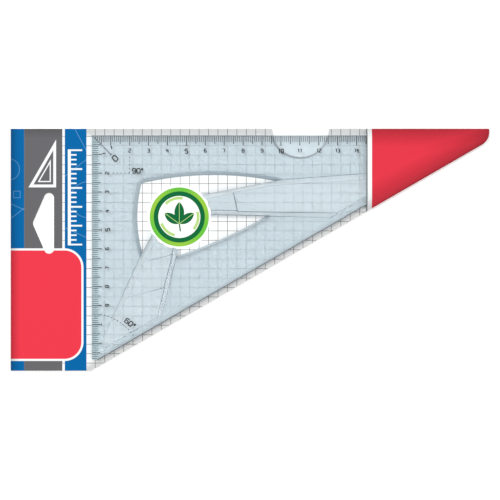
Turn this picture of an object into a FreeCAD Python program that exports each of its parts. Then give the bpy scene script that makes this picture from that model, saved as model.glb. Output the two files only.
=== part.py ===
# Clear set square with a raised grip, in the folded hang card that it is sold in.
# Lengths are millimetres. Shapes are drawn about the zero corner of the scales, with +X along the long
# scaled edge and -Y down the short one, and move at the end so that the origin is under the card's middle.
import FreeCAD, Part
import math
import os

V = FreeCAD.Vector
UP = V(0, 0, 1)

# Set square outline
long_leg = 209.2                 # zero corner to where the long edge would meet the hypotenuse
slim_angle = 30.0                # degrees, at the far end of the long edge
slim_tip_cut = 5.0               # blunting of the slim tip, measured along the long edge
blunt_tip_cut = 2.1              # blunting of the other tip, measured along the short edge
plate_thickness = 1.8
scale_edge_thickness = 0.9
scale_bevel_width = 6.0
slope_edge_thickness = 1.2
slope_bevel_width = 3.2

# The window and the grip are drawn for a long leg of this length, and grow with the plate
drawn_leg = 209.2

# Window: three bulging sides, each given by its nearest point to an edge of the plate and its radius
window_top_margin = 19.0
window_left_margin = 22.0
window_slope_margin = 20.3
window_top_radius = 172.0
window_left_radius = 73.0
window_slope_radius = 260.0
window_top_touch_share = 0.308     # of the long leg
window_left_touch_share = 0.356    # of the short leg
window_slope_touch_share = 0.496   # of the hypotenuse, from the blunt tip
window_bevel = 2.0
window_slope_bevel = 1.1
window_corner_radius = 4.0       # at the top face
window_foot_radius = 1.6         # at the bottom face
window_hidden_radius = 2.6       # the two corners that the grip fills

# Grip: a raised V that bridges the window, with its elbow near the square corner
grip_rise = 1.3
elbow_from_short_edge = 41.4
elbow_from_long_edge = 34.6
crook_from_short_edge = 50.1
crook_from_long_edge = 41.8
elbow_radius = 8.0
crook_radius = 20.0
long_arm_knee = 60.2             # elbow to the bend in the long arm's upper edge
short_arm_knee = 33.3            # elbow to the bend in the short arm's outer edge
long_arm_angle = 10.7            # degrees above the long edge's direction, elbow to knee
long_arm_end_angle = 4.1
long_arm_under_angle = -1.3
short_arm_angle = 28.3           # degrees out from the short edge's direction, elbow to knee
short_arm_end_angle = 24.4
short_arm_inner_angle = 13.6
flank_width = 2.6                # inner sides, towards the crook
long_flank_width = 2.3           # long arm's upper side, elbow to knee
long_end_flank_width = 3.2       # the same side beyond its knee
outer_flank_width = 3.4          # short arm's outer side
slope_flank_width = 0.9
grip_slope_gap = 0.15            # flat left between the slope's bevel and the grip
step_depth = 0.22
long_step_from_middle = 30.4
long_step_angle = 12.7
long_step_run = 74.0
short_step_from_middle = 28.55
short_second_step = 19.6         # from the first step on the short arm to the second
short_step_angle = 15.0
short_step_end_run = 34.0
step_reach = 26.0                # half the width of a step's cut across the arm

# Graduations, printed on the top face
ink_thickness = 0.04
tick_width = 0.28
middle_tick_width = 0.38
major_tick_width = 0.42
minor_tick = 3.5
middle_tick = 4.5
major_tick = 5.4
tick_pitch = 1.0
ticks_per_middle = 5
ticks_per_major = 10
ticks_per_bar = 50
bar_length = 1.5
tick_edge_gap = 0.1
mitre_gap = 0.6                  # ticks near the zero corner stop short of the pointer
long_scale_end = 14.0            # last tick to the slim tip, at least
short_scale_end = 0.5            # last tick to the blunt tip, at least
pointer_length = 14.3
pointer_width = 0.3
pointer_bar = 1.3
dash_length = 0.95
dash_gap = 0.9
square_mark = 20.0               # side of the dashed square at the right angle
square_mark_start = 10.1
arc_mark_radius = 26.5
arc_mark_start = 11.0            # degrees from the short edge
arc_mark_margin = 0.4            # last dash's middle to the hypotenuse, at least

# Sticker on the grip's elbow
sticker_radius = 16.9
sticker_scallop = 0.55
sticker_scallops = 18
sticker_thickness = 0.1
sticker_from_short_edge = 46.3
sticker_from_long_edge = 43.2

# Hang card
card_thickness = 0.4
glue_thickness = 0.05
slide_clearance = 0.05
top_margin = 3.5
slope_margin = 2.9
header_width = 43.0
header_foot = 3.8                # header below the point where plate's short edge and slope would meet
tail_overhang = 1.1              # card past the meeting point of the long edge and the hypotenuse
tail_radius = 7.5
notch_radius = 15.0
notch_from_zero = 110.4
hole_width = 11.4
hole_lean = 23.6                 # degrees from the hole's upright side to each slanted one
hole_end_radius = 2.65
hole_apex_radius = 3.0
hole_from_edge = 11.5            # card's left edge to the point where the slanted sides would meet
hole_middle_share = 0.3904       # of the card's height, from the top

# Tail pocket, header flap and their glue
pocket_length = 65.1             # mouth to the end of the tail
pocket_clearance = 0.25          # over the grip
pocket_slope = 0.8               # rise of the pocket's flanks over their width
glue_flap_width = 12.0
glue_inset = 2.0
header_flap_gap = 5.0            # flap's free edge to the set square

overrun = 2.0                    # how far a cutting shape passes the shape it cuts

# Derived places
short_leg = long_leg * math.tan(math.radians(slim_angle))
hypotenuse = math.hypot(long_leg, short_leg)
long_scale_length = long_leg - slim_tip_cut - long_scale_end
short_scale_length = short_leg - blunt_tip_cut - short_scale_end
growth = long_leg / drawn_leg
blunt_vertex = V(0, -short_leg, 0)
slope_along = V(math.cos(math.radians(slim_angle)), math.sin(math.radians(slim_angle)), 0)
slope_inward = V(-slope_along.y, slope_along.x, 0)
RIGHT = V(1, 0, 0)
DOWN = V(0, -1, 0)

card_bottom = card_thickness + glue_thickness
card_top = card_bottom + card_thickness
plate_bottom = card_top + slide_clearance
plate_top = plate_bottom + plate_thickness
crest_top = plate_top + grip_rise

card_left = -header_width
card_right = long_leg + tail_overhang
card_head = top_margin
card_foot = -short_leg - header_foot
mouth = card_right - pocket_length
pocket_ceiling = crest_top + pocket_clearance
pocket_roof = pocket_ceiling + card_thickness


def direction(degrees):
    """Unit vector in the plane of the plate, turned from +X."""
    return V(math.cos(math.radians(degrees)), math.sin(math.radians(degrees)), 0)


def unit(vector):
    return V(vector).normalize()


def crossing(line_a, line_b):
    """Where two lines, each a point and a direction, cross in the plane."""
    (a, u), (b, v) = line_a, line_b
    gap = b - a
    return a + u * ((gap.x * v.y - gap.y * v.x) / (u.x * v.y - u.y * v.x))


def slope_line(inset):
    """Line parallel to the hypotenuse, inset towards the square corner."""
    return blunt_vertex + slope_inward * inset, slope_along


def arc_edge(start, middle, end):
    return Part.Arc(start, middle, end).toShape()


def at_height(points, z):
    return [V(p.x, p.y, z) for p in points]


def rounded_outline(points, radii, z):
    """Closed wire through points, with a tangent arc of the given radius at each corner that has one."""
    points = at_height(points, z)
    edges, corners = [], []
    for i, point in enumerate(points):
        back = unit(points[i - 1] - point)
        ahead = unit(points[(i + 1) % len(points)] - point)
        radius = radii[i]
        if radius == 0:
            corners.append((point, None, point))
            continue
        half = back.getAngle(ahead) / 2
        reach = radius / math.tan(half)
        middle = point + unit(back + ahead) * (radius / math.sin(half) - radius)
        corners.append((point + back * reach, middle, point + ahead * reach))
    for i, (start, middle, end) in enumerate(corners):
        if middle is not None:
            edges.append(arc_edge(start, middle, end))
        edges.append(Part.LineSegment(end, corners[(i + 1) % len(corners)][0]).toShape())
    return Part.Wire(edges)


def prism(wire, height):
    return Part.Face(wire).extrude(UP * height)


def sharp_prism(points, z, height):
    return prism(rounded_outline(points, [0] * len(points), z), height)


def swept_profile(profile, start, across, along, length):
    """Prism of a profile of (distance across, height) points, carried along an edge."""
    points = [start + across * distance + UP * height for distance, height in profile]
    return Part.Face(Part.makePolygon(points + points[:1])).extrude(along * length)


def slope_cutter(start, end, inward, low, high, width):
    """All that lies over a plane that rises from low at an edge to high at width inside it."""
    along = unit(end - start)
    rise = overrun * (high - low) / width
    profile = [(-overrun, low - rise), (width + overrun, high + rise), (-overrun, high + rise)]
    length = (end - start).Length + 2 * overrun
    return swept_profile(profile, start - along * overrun, inward, along, length)


# Set square

def plate_corners():
    """The plate's outline, from the zero corner clockwise."""
    slim = long_leg - slim_tip_cut
    blunt = -short_leg + blunt_tip_cut
    slim_low = crossing((V(slim, 0, 0), DOWN), slope_line(0))
    blunt_right = crossing((V(0, blunt, 0), RIGHT), slope_line(0))
    return [V(0, 0, 0), V(slim, 0, 0), slim_low, blunt_right, V(0, blunt, 0)]


def plain_plate():
    """The plate with its three bevelled edges and no window."""
    corners = plate_corners()
    zero, slim, slim_low, blunt_right, blunt_left = corners
    scale_low = plate_bottom + scale_edge_thickness
    slope_low = plate_bottom + slope_edge_thickness
    cuts = [
        slope_cutter(zero, slim, DOWN, scale_low, plate_top, scale_bevel_width),
        slope_cutter(blunt_left, zero, RIGHT, scale_low, plate_top, scale_bevel_width),
        slope_cutter(blunt_right, slim_low, slope_inward, slope_low, plate_top, slope_bevel_width),
    ]
    return sharp_prism(corners, plate_bottom, plate_thickness).cut(cuts)


def window_sides():
    """Each side of the window as (centre, radius) of its circle: left, top and slope."""
    left = V(window_left_margin * growth, -window_left_touch_share * short_leg, 0)
    top = V(window_top_touch_share * long_leg, -window_top_margin * growth, 0)
    slope = (blunt_vertex + slope_along * (window_slope_touch_share * hypotenuse)
             + slope_inward * (window_slope_margin * growth))
    left_radius = window_left_radius * growth
    top_radius = window_top_radius * growth
    slope_radius = window_slope_radius * growth
    return [
        (left + RIGHT * left_radius, left_radius),
        (top + DOWN * top_radius, top_radius),
        (slope + slope_inward * slope_radius, slope_radius),
    ]


def circle_crossing(centre_a, radius_a, centre_b, radius_b):
    """The crossing of two circles that lies to the right, looking from the first centre to the second."""
    span = centre_b - centre_a
    reach = (radius_a**2 - radius_b**2 + span.Length**2) / (2 * span.Length)
    along = unit(span)
    aside = V(along.y, -along.x, 0)
    return centre_a + along * reach + aside * math.sqrt(radius_a**2 - reach**2)


def window_wire(insets, radii, z):
    """The curved triangle, its sides moved in by insets and its corners rounded by tangent arcs."""
    sides = [(centre, radius - inset) for (centre, radius), inset in zip(window_sides(), insets)]
    leave, arrive, edges = {}, {}, []
    for i, rounding in enumerate(radii):
        k = (i + 1) % len(sides)
        (centre_a, radius_a), (centre_b, radius_b) = sides[i], sides[k]
        pivot = circle_crossing(centre_a, radius_a - rounding, centre_b, radius_b - rounding)
        out_a, out_b = unit(pivot - centre_a), unit(pivot - centre_b)
        arrive[i] = pivot + out_a * rounding
        leave[k] = pivot + out_b * rounding
        edges.append((arrive[i], pivot + unit(out_a + out_b) * rounding, leave[k]))
    for i, (centre, radius) in enumerate(sides):
        middle = centre + unit((leave[i] + arrive[i]) * 0.5 - centre) * radius
        edges.append((leave[i], middle, arrive[i]))
    ordered = Part.__sortEdges__([arc_edge(*at_height(points, z)) for points in edges])
    return Part.Wire(ordered)


def window_cutter():
    """The window's bevelled opening, wider at the top face than at the bottom."""
    foot = window_wire(
        [window_bevel, window_bevel, window_slope_bevel],
        [window_foot_radius, window_hidden_radius, window_hidden_radius],
        plate_bottom,
    )
    head = window_wire(
        [0, 0, 0],
        [window_corner_radius, window_hidden_radius, window_hidden_radius],
        plate_top,
    )
    bevel = Part.makeLoft([foot, head], True, True)
    below = prism(foot, -overrun)
    above = prism(head, overrun)
    return bevel.fuse([below, above])


def grip_corners():
    """Where the grip's outer sides meet at the elbow, and its inner sides at the crook."""
    elbow = V(elbow_from_short_edge, -elbow_from_long_edge, 0) * growth
    crook = V(crook_from_short_edge, -crook_from_long_edge, 0) * growth
    return elbow, crook


def grip_lines():
    """The grip's sides in order from the elbow, each as (point, direction, flank width)."""
    elbow, crook = grip_corners()
    upper = direction(long_arm_angle)
    outer = direction(-90 - short_arm_angle)
    slope_foot = slope_line(slope_bevel_width + grip_slope_gap)[0]
    return [
        (elbow, upper, long_flank_width),
        (elbow + upper * (long_arm_knee * growth), direction(long_arm_end_angle),
         long_end_flank_width),
        (slope_foot, slope_along * -1, slope_flank_width),
        (crook, direction(long_arm_under_angle) * -1, flank_width),
        (crook, direction(-90 - short_arm_inner_angle), flank_width),
        (slope_foot, slope_along * -1, slope_flank_width),
        (elbow + outer * (short_arm_knee * growth), direction(-90 - short_arm_end_angle) * -1,
         outer_flank_width),
        (elbow, outer * -1, outer_flank_width),
    ]


def grip_wire(flank_share, z):
    """The grip's outline, each side moved in by a share of its flank."""
    sides = []
    for point, along, flank in grip_lines():
        inward = V(along.y, -along.x, 0)
        sides.append((point + inward * (flank * flank_share), along))
    points = [crossing(sides[i - 1], side) for i, side in enumerate(sides)]
    radii = [0] * len(points)
    radii[0] = elbow_radius - flank_width * flank_share
    radii[4] = crook_radius + flank_width * flank_share
    return rounded_outline(points, radii, z)


def step_cutter(start, along, run):
    """A shallow wedge off the crest: deepest at the step and nothing at the end of its run."""
    profile = [(0, crest_top - step_depth), (run, crest_top), (run, crest_top + overrun),
               (0, crest_top + overrun)]
    aside = V(along.y, -along.x, 0)
    reach = step_reach * growth
    return swept_profile(profile, start - aside * reach, along, aside, 2 * reach)


def grip():
    """The raised V: upright walls through the window, sloping flanks, and a stepped crest."""
    walls = prism(grip_wire(0, plate_bottom), plate_thickness)
    flanks = Part.makeLoft([grip_wire(0, plate_top), grip_wire(1, crest_top)], True, True)
    elbow, crook = grip_corners()
    middle = (elbow + crook) * 0.5
    long_way = direction((long_arm_angle + long_arm_under_angle) / 2)
    short_way = direction(-90 - (short_arm_angle + short_arm_inner_angle) / 2)
    long_step = middle + long_way * (long_step_from_middle * growth)
    short_step = middle + short_way * (short_step_from_middle * growth)
    second_step = short_step + short_way * (short_second_step * growth)
    short_normal = direction(-90 + short_step_angle)
    cuts = [
        step_cutter(long_step, direction(long_step_angle), long_step_run * growth),
        step_cutter(short_step, short_normal, short_second_step * growth),
        step_cutter(second_step, short_normal, short_step_end_run * growth),
    ]
    return walls.fuse(flanks).cut(cuts)


def set_square():
    """The whole moulding: bevelled plate, window and grip in one solid."""
    inside_scale = Part.makeBox(long_leg, short_leg, plate_thickness + grip_rise,
                                V(scale_bevel_width, -short_leg, plate_bottom))
    plate = plain_plate().cut(window_cutter())
    return plate.fuse(grip().common(inside_scale)).removeSplitter()


# Graduations

def bevel_height(distance):
    """Height of the scaled edge's bevel at a distance in from the edge."""
    share = distance / scale_bevel_width
    return plate_bottom + scale_edge_thickness + (plate_thickness - scale_edge_thickness) * share


def bevel_mark(place, along, across, near, far, width):
    """A printed stroke on the bevel, centred on a place along the edge."""
    profile = [(near, bevel_height(near)), (far, bevel_height(far)),
               (far, bevel_height(far) + ink_thickness), (near, bevel_height(near) + ink_thickness)]
    return swept_profile(profile, along * (place - width / 2), across, along, width)


def bevel_limit(place, edge, lean):
    """How far in from a scaled edge its bevel stays below the hypotenuse's, at a place along the edge."""
    room = (edge - place) * math.sin(lean) / math.cos(lean)
    scale_fall = (plate_thickness - scale_edge_thickness) / scale_bevel_width
    slope_fall = math.cos(lean) * (plate_thickness - slope_edge_thickness) / slope_bevel_width
    return (slope_edge_thickness - scale_edge_thickness + slope_fall * room) / (scale_fall + slope_fall)


def scale_marks(along, across, length, edge, lean):
    """Every tick that a length takes, with a short bar across each fifth centimetre's tick."""
    marks = []
    for k in range(1, int(length / tick_pitch) + 1):
        place = k * tick_pitch
        far, width = minor_tick, tick_width
        if k % ticks_per_middle == 0:
            far, width = middle_tick, middle_tick_width
        if k % ticks_per_major == 0:
            far, width = major_tick, major_tick_width
        far = min(far, place - mitre_gap / 2, bevel_limit(place + width / 2, edge, lean))
        mark = bevel_mark(place, along, across, tick_edge_gap, far, width)
        if k % ticks_per_bar == 0:
            mark = mark.fuse(bevel_mark(place, along, across, far - tick_width, far, bar_length))
            mark = mark.removeSplitter()
        marks.append(mark)
    return Part.makeCompound(marks)


def printed(shapes, surface, raised):
    """Marks given as upright shapes, cut to an ink film over the surface."""
    films = []
    for shape in shapes:
        films.extend(shape.common(raised).cut(surface).Solids)
    return Part.makeCompound(films)


def upright_bar(start, along, length, width):
    """A tall thin box over the plate, from start, with its width centred on the line."""
    aside = V(-along.y, along.x, 0) * (width / 2)
    end = start + along * length
    corners = [start - aside, end - aside, end + aside, start + aside]
    return sharp_prism(corners, plate_bottom, plate_thickness + grip_rise + overrun)


def zero_pointer(surface, raised):
    """The line at 45 degrees from the zero corner, with a bar across its end."""
    along = direction(-45)
    line = upright_bar(along * mitre_gap, along, pointer_length - mitre_gap, pointer_width)
    aside = V(along.y, -along.x, 0)
    bar_start = along * pointer_length - aside * (pointer_bar / 2)
    bar = upright_bar(bar_start, aside, pointer_bar, pointer_width)
    return printed([line.fuse(bar).removeSplitter()], surface, raised)


def dashes(start, along, length):
    """Upright dashes from start, as many as the length takes."""
    count = max(2, int(length / (dash_length + dash_gap) + 0.5))
    pitch = length / count
    return [upright_bar(start + along * (pitch * k), along, dash_length, tick_width)
            for k in range(count)]


def right_angle_marks(surface, raised):
    """Two dashed lines that close a square at the right angle."""
    half = tick_width / 2
    length = square_mark - square_mark_start
    rising = dashes(V(square_mark, -square_mark - half, 0), DOWN * -1, length)
    level = dashes(V(square_mark - half, -square_mark, 0), RIGHT * -1, length)
    return printed(rising + level, surface, raised)


def angle_arc(surface, raised):
    """The dashed arc about the blunt vertex, from the short scale to the hypotenuse."""
    pitch = math.degrees((dash_length + dash_gap) / arc_mark_radius)
    last = 90 - slim_angle - math.degrees(arc_mark_margin / arc_mark_radius)
    bars = []
    for k in range(int((last - arc_mark_start) / pitch) + 1):
        bearing = 90 - arc_mark_start - k * pitch
        centre = blunt_vertex + direction(bearing) * arc_mark_radius
        along = direction(bearing - 90)
        bars.append(upright_bar(centre - along * (dash_length / 2), along, dash_length, tick_width))
    return printed(bars, surface, raised)


def sticker():
    """A die-cut round label with a scalloped rim, flat on the grip's crest."""
    centre = V(sticker_from_short_edge * growth, -sticker_from_long_edge * growth, crest_top)
    step = 360 / sticker_scallops
    edges = []
    for k in range(sticker_scallops):
        start, middle, end = (
            centre + direction((k + part) * step) * (sticker_radius - dip)
            for part, dip in ((0, sticker_scallop), (0.5, 0), (1, sticker_scallop))
        )
        edges.append(arc_edge(start, middle, end))
    return prism(Part.Wire(edges), sticker_thickness)


# Hang card

def card_slope(inset):
    """The card's long slanted edge, moved in by inset."""
    return slope_line(inset - slope_margin)


def tail_points(left, inset):
    """The tail's outline from a given left side, moved in by inset, and the radius of each corner."""
    head, right = card_head - inset, card_right - inset
    nose = crossing((V(right, 0, 0), DOWN), card_slope(inset))
    heel = crossing((V(left, 0, 0), DOWN), card_slope(inset))
    points = [V(left, head, 0), V(right, head, 0), nose, heel]
    return points, [0, 0, tail_radius - inset, 0]


def hang_hole(z, height, margin):
    """The slot for a display hook: a low triangle with rounded ends, wider all round by a margin."""
    middle = card_head + (card_foot - card_head) * hole_middle_share
    lean = math.radians(hole_lean)
    apex = V(card_left + hole_from_edge - margin / math.cos(lean), middle, 0)
    right = card_left + hole_from_edge + hole_width + margin
    half = (right - apex.x) / math.tan(lean)
    points = [apex, V(right, middle + half, 0), V(right, middle - half, 0)]
    radii = [hole_apex_radius + margin, hole_end_radius + margin, hole_end_radius + margin]
    return prism(rounded_outline(points, radii, z), height)


def fold_lip(start, end, inward, low, high):
    """The strip of card that turns round a folded edge."""
    along = unit(end - start)
    profile = [(0, low), (card_thickness, low), (card_thickness, high), (0, high)]
    return swept_profile(profile, start, inward, along, (end - start).Length)


def fold_relief(start, end, inward):
    """Room for a fold lip, cut from the edge of the card that it wraps."""
    profile = [(-overrun, -overrun), (card_thickness + glue_thickness, -overrun),
               (card_thickness + glue_thickness, card_top + overrun), (-overrun, card_top + overrun)]
    return swept_profile(profile, start, inward, unit(end - start), (end - start).Length)


def slope_fold():
    """The ends of the fold along the tail's slanted edge."""
    start = crossing((V(mouth, 0, 0), DOWN), card_slope(0))
    nose = crossing((V(card_right, 0, 0), DOWN), card_slope(0))
    reach = tail_radius * math.tan(math.radians((90 - slim_angle) / 2))
    return start, nose - slope_along * reach


def header_fold():
    return V(card_left, card_foot, 0), V(card_left, card_head, 0)


def backing_card():
    """The card's front sheet: header, panel behind the plate, and the back of the tail."""
    nose = crossing((V(card_right, 0, 0), DOWN), card_slope(0))
    heel = crossing((V(0, card_foot, 0), RIGHT), card_slope(0))
    points = [V(card_left, card_head, 0), V(card_right, card_head, 0), nose, heel,
              V(card_left, card_foot, 0)]
    sheet = prism(rounded_outline(points, [0, 0, tail_radius, 0, 0], card_bottom), card_thickness)
    notch = Part.makeCylinder(notch_radius, card_thickness + 2 * overrun,
                              V(notch_from_zero, card_head, card_bottom - overrun), UP)
    start, end = slope_fold()
    low, high = header_fold()
    return sheet.cut([
        notch,
        hang_hole(card_bottom - overrun, card_thickness + 2 * overrun, 0),
        fold_relief(start, end, slope_inward),
        fold_relief(low, high, RIGHT),
    ])


def header_back_flap():
    """The header's second layer, folded behind it round the card's left edge."""
    right = -header_flap_gap
    points = [V(card_left, card_head, 0), V(right, card_head, 0), V(right, card_foot, 0),
              V(card_left, card_foot, 0)]
    flap = sharp_prism(points, 0, card_thickness)
    low, high = header_fold()
    flap = flap.fuse(fold_lip(low, high, RIGHT, 0, card_top)).removeSplitter()
    return flap.cut(hang_hole(-overrun, card_top + 2 * overrun, 0))


def header_glue():
    left = card_left + glue_inset
    right = -header_flap_gap - glue_inset
    head, foot = card_head - glue_inset, card_foot + glue_inset
    points = [V(left, head, 0), V(right, head, 0), V(right, foot, 0), V(left, foot, 0)]
    pad = sharp_prism(points, card_thickness, glue_thickness)
    return pad.cut(hang_hole(card_thickness - overrun, glue_thickness + 2 * overrun, glue_inset))


def pocket_form(left, inset, low, roof):
    """A closed form over the tail: flat roof and flanks that fall to the folds from low upwards."""
    points, radii = tail_points(left, inset)
    form = prism(rounded_outline(points, radii, card_top), roof - card_top)
    head_left, head_right, nose, heel = points
    width = (roof - low) / pocket_slope
    return form.cut([
        slope_cutter(head_left, head_right, DOWN, low, roof, width),
        slope_cutter(heel, nose, slope_inward, low, roof, width),
        slope_cutter(nose, head_right, RIGHT * -1, low, roof, width),
    ])


def tail_pocket():
    """The tail's front panel: a bulged sheet, open at its mouth and folded under the slanted edge."""
    outer = pocket_form(mouth, 0, card_top + card_thickness, pocket_roof)
    inner = pocket_form(mouth - overrun, card_thickness, card_top, pocket_ceiling)
    start, end = slope_fold()
    lip = fold_lip(start, end, slope_inward, 0, card_top + card_thickness)
    return outer.cut(inner).fuse(lip).removeSplitter()


def slope_strip(inset, radius, z, height):
    """A strip of the tail along its slanted edge, moved in by inset behind the fold lip."""
    (head_left, head_right, nose, heel), _ = tail_points(mouth + inset, card_thickness + inset)
    inner = (heel + slope_inward * (glue_flap_width - 2 * inset), slope_along)
    outline = [heel, crossing((head_left, DOWN), inner), crossing((head_left, RIGHT), inner),
               head_right, nose]
    return prism(rounded_outline(outline, [0, 0, 0, 0, radius], z), height)


def tail_glue_flap():
    """The pocket's glue flap, behind the card along the slanted edge."""
    return slope_strip(0, tail_radius - card_thickness, 0, card_thickness)


def tail_glue():
    return slope_strip(glue_inset, glue_inset, card_thickness, glue_thickness)


def main():
    os.makedirs("parts", exist_ok=True)
    square = set_square()
    raised = square.copy()
    raised.translate(UP * ink_thickness)
    lean = math.radians(slim_angle)
    nodes = {
        "backing_card": backing_card(),
        "header_back_flap": header_back_flap(),
        "header_glue": header_glue(),
        "tail_pocket": tail_pocket(),
        "tail_glue_flap": tail_glue_flap(),
        "tail_glue": tail_glue(),
        "set_square": square,
        "long_scale": scale_marks(RIGHT, DOWN, long_scale_length, long_leg, lean),
        "short_scale": scale_marks(DOWN, RIGHT, short_scale_length, short_leg, math.pi / 2 - lean),
        "zero_pointer": zero_pointer(square, raised),
        "right_angle_marks": right_angle_marks(square, raised),
        "angle_arc": angle_arc(square, raised),
        "sticker": sticker(),
    }
    to_middle = V(-(card_left + card_right) / 2, -(card_head + card_foot) / 2, 0)
    for name, shape in nodes.items():
        shape.translate(to_middle)
        shape.exportStep("parts/" + name + ".step")
        box = shape.BoundBox
        print(name, len(shape.Solids), shape.isValid(), round(shape.Volume, 3),
              [round(v, 2) for v in (box.XMin, box.XMax, box.YMin, box.YMax, box.ZMin, box.ZMax)])


main()
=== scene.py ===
import math

import bpy
import numpy as np
from bpy.props import FloatProperty, FloatVectorProperty, IntProperty, PointerProperty
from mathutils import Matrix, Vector


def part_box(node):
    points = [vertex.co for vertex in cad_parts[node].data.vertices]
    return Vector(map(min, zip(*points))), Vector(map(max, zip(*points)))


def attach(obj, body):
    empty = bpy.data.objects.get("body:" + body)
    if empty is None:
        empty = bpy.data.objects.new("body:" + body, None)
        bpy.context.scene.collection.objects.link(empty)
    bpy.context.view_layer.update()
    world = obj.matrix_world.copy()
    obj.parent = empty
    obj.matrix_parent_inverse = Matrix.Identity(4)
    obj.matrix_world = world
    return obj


bl_info = {
    "name": "Set Square Dressing",
    "version": (1, 0, 0),
    "blender": (4, 5, 0),
    "location": "3D View > Sidebar > Set Square",
    "description": "Gives a packed set square and its hang card their finishes, figures and studio",
    "category": "Object",
}

MM = 0.001
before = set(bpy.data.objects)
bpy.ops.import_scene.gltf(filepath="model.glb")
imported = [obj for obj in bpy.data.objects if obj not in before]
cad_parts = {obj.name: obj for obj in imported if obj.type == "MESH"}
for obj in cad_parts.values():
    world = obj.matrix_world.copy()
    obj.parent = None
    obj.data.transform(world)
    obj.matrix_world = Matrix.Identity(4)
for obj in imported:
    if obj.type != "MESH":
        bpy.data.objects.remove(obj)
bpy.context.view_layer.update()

square_low, square_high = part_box("set_square")
_, card_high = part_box("backing_card")
flap_low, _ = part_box("header_back_flap")
tail_low, tail_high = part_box("tail_pocket")
label_low, label_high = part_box("sticker")

ZERO_X = square_low.x
ZERO_Y = square_high.y
CARD_LEFT = (flap_low.x - ZERO_X) / MM
CARD_HEAD = (card_high.y - ZERO_Y) / MM
MOUTH = (tail_low.x - ZERO_X) / MM
TAIL_END = (tail_high.x - ZERO_X) / MM
PLATE_THICKNESS = 1.8       # of the moulding, around its grip
PLATE_TOP = square_low.z / MM + PLATE_THICKNESS
SLIM_ANGLE = 30             # degrees between the long edge and the hypotenuse
SLOPE_FOOT = -120.78        # where the hypotenuse's line meets the short edge's
CARD_MARGIN = 2.9           # card beyond the hypotenuse
KEY_PLACE = (-0.7, 0.85, 1.25)      # where the key light hangs, in metres
FILL_PLACE = (0.9, -0.7, 1.1)       # and the fill light
KEY_SIDE = (-0.64, 0.77)            # their directions across the floor
FILL_SIDE = (0.79, -0.61)
WHITE = (1, 1, 1)


def srgb(red, green, blue):
    """Linear colour of a screen colour given from 0 to 255."""
    share = np.array([red, green, blue]) / 255
    linear = np.where(share > 0.04045, ((share + 0.055) / 1.055) ** 2.4, share / 12.92)
    return tuple(float(v) for v in linear)


def colour_property(name, description, red, green, blue):
    return FloatVectorProperty(name=name, description=description, subtype="COLOR", size=3,
                               min=0, max=1, default=srgb(red, green, blue))


def length_property(name, description, millimetres):
    return FloatProperty(name=name, description=description, default=millimetres * MM, min=0,
                         subtype="DISTANCE", unit="LENGTH", precision=5)


def factor_property(name, description, default):
    return FloatProperty(name=name, description=description, default=default, min=0, max=1,
                         subtype="FACTOR")


class PlasticSettings(bpy.types.PropertyGroup):
    tint: colour_property("Tint", "Milky tint of the moulding", 180, 190, 195)
    # painted shade: tint of the bevels round the window, also the pale end of the crease beads' painted
    # shade
    edge_tint: colour_property("Edge tint", "Tint of the bevels round the window", 162, 175, 184)
    # painted shade: dark end of the crease beads, and of flanks that face the fill light
    crease_tint: colour_property("Crease tint", "Tint of the grip's creases", 84, 102, 115)
    milkiness: factor_property("Milkiness", "Share of light that the moulding scatters", 0.42)
    crease_width: length_property("Crease width", "Half the width of a crease's bead", 0.16)
    crease_rise: length_property("Crease rise", "Rise of a crease's bead over its edge", 0.02)
    # painted shade: dark cut edge on the hypotenuse
    rim_tint: colour_property("Rim tint", "Tint of the cut edge on the hypotenuse", 92, 98, 102)
    gloss: factor_property("Roughness", "Roughness of the polished faces", 0.06)


class InkSettings(bpy.types.PropertyGroup):
    colour: colour_property("Ink", "Colour of ticks and figures", 20, 26, 31)
    figure_height: length_property("Figure height", "Height of the centimetre figures", 1.78)
    fifth_height: length_property("Fifth figure height", "Height of every fifth figure", 2.2)
    first_height: length_property("First figure height", "Height of the figure 1", 1.7)
    figure_row: length_property("Figure row", "Scaled edge to the figures' middle", 8.1)
    fifth_row: length_property(
        "Fifth figure row", "Scaled edge to the middle of every fifth figure", 8.4)
    first_row: length_property("First figure row", "Scaled edge to the middle of figure 1", 6.5)
    stroke: length_property("Stroke", "Width of a figure's stroke", 0.46)
    bold_stroke: length_property(
        "Bold stroke", "Stroke of every fifth figure, the zero and the angles", 0.58)
    film: length_property("Film", "Thickness of the ink", 0.03)
    top_figures: IntProperty(
        name="Top figures", description="Figures on the long scale", default=19, min=1)
    side_figures: IntProperty(
        name="Side figures", description="Figures on the short scale", default=9, min=1)


class CardSettings(bpy.types.PropertyGroup):
    white: colour_property("White", "Coated white of the printed side", 241, 243, 243)
    board: colour_property("Board", "Raw board at edges and on the inner side", 206, 203, 196)
    grid: colour_property("Grid", "Colour of the ruled lines", 84, 80, 84)
    blue: colour_property("Blue", "Header's blue bands", 1, 99, 162)
    grey: colour_property("Grey", "Header's grey band", 101, 101, 104)
    red: colour_property("Red", "Header's block and the tail", 231, 57, 74)
    grid_pitch: length_property("Grid pitch", "Distance between ruled lines", 5.0)
    grid_line: length_property("Grid line", "Width of a ruled line", 0.25)


class LabelSettings(bpy.types.PropertyGroup):
    bright: colour_property("Bright green", "Outer band", 100, 188, 60)
    yellow: colour_property("Yellow green", "Light end of the outer band", 146, 196, 62)
    dark: colour_property("Dark green", "Ring and leaves", 0, 100, 52)
    pale: colour_property("Pale green", "Inner disc", 178, 212, 128)
    white: colour_property("White", "Label paper", 250, 251, 249)


class StageSettings(bpy.types.PropertyGroup):
    floor: colour_property("Floor", "Studio floor", 255, 255, 255)
    view_width: length_property("View width", "Width of the picture at the plate", 264.4)
    distance: length_property("Camera distance", "Height of the camera over the plate", 1600)
    aim: length_property("Aim", "How far below the middle of the part the camera looks", 0.12)
    key_power: FloatProperty(name="Key light", description="Power of the large light in watts",
                             default=19, min=0)
    surround: FloatProperty(name="Surround", description="Strength of the even light all round",
                            default=0.37, min=0)


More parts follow.
